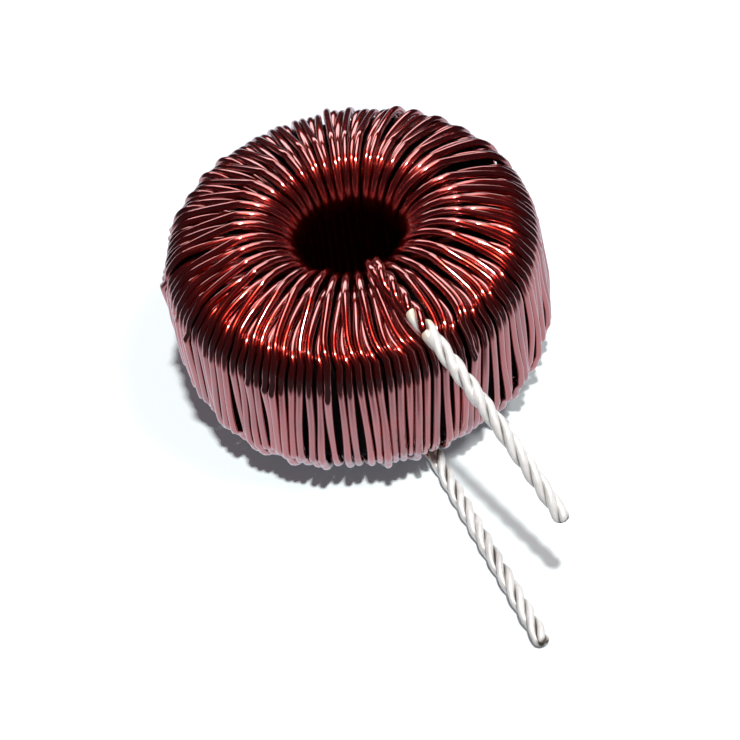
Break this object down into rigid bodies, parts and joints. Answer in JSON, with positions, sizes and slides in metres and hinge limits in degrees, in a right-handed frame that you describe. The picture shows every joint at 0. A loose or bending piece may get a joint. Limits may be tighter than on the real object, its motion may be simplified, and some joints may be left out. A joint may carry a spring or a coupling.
{
  "type": "toroidal inductor",
  "caption": "Toroidal power inductor: a coated ring core wound all round with parallel strands of dark red enamelled copper wire, ending in two twisted and tinned leads.",
  "frame": {"origin": "on the core's axis, on the surface that the coil rests on", "axes": "+Z along the core's axis, upwards; the lower lead runs out along -Y"},
  "size_m": [0.0507, 0.0803, 0.0291],
  "materials": {
    "core_coating": "thin black epoxy coating, satin",
    "enamelled_copper": "dark red polyurethane enamel over bright copper, glossy",
    "tinned_copper": "hand-dipped solder tin, uneven satin to bright"
  },
  "bodies": {
    "root": {"core": "core_coating", "strand_1": "enamelled_copper", "strand_2": "enamelled_copper", "strand_3": "enamelled_copper", "lower_lead": "tinned_copper", "upper_lead": "tinned_copper"}
  },
  "joints": []
}
